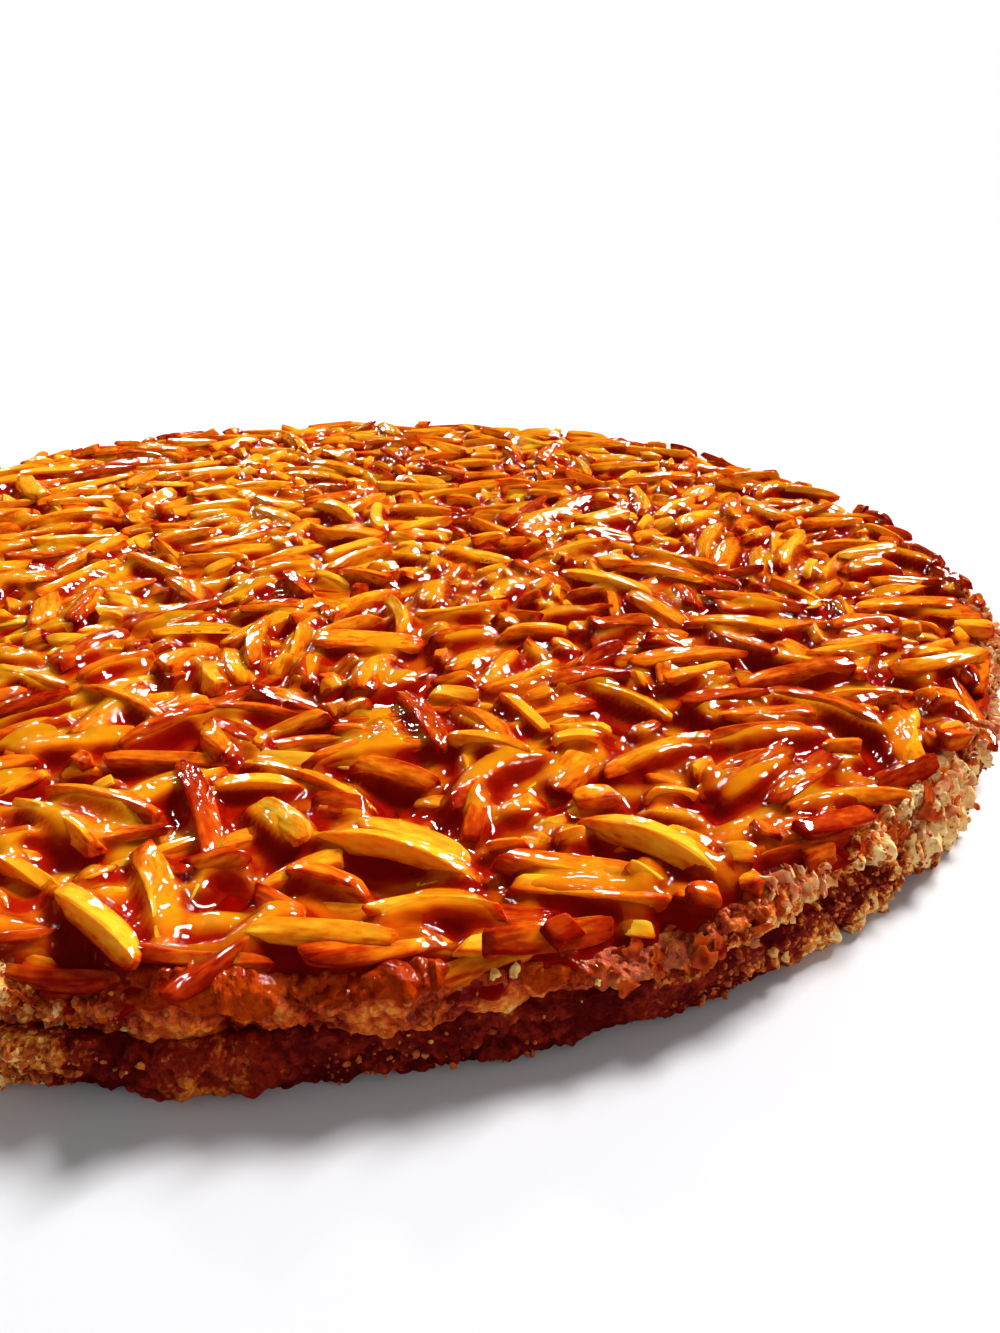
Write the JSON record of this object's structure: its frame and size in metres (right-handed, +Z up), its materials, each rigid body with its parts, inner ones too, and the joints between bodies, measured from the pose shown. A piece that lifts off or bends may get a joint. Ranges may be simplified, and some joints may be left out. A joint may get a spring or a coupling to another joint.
{
  "type": "almond tart",
  "caption": "Whole round almond tart, thin and flat: a crumbly shortcrust base under a glossy caramel layer packed with slivered almonds.",
  "frame": {"origin": "centre of the flat underside, on the surface the tart rests on", "axes": "+Z up through the top of the tart; -Y towards the side that shows the low, pale break in the almond layer; +X to the right of that"},
  "size_m": [0.2402, 0.2415, 0.0171],
  "materials": {
    "pastry": "matte, crumbly, golden brown",
    "caramel": "wet gloss, translucent amber to red-brown",
    "almond": "glazed golden amber"
  },
  "bodies": {
    "root": {"pastry_crust": "pastry", "almond_layer": "caramel"}
  },
  "joints": []
}
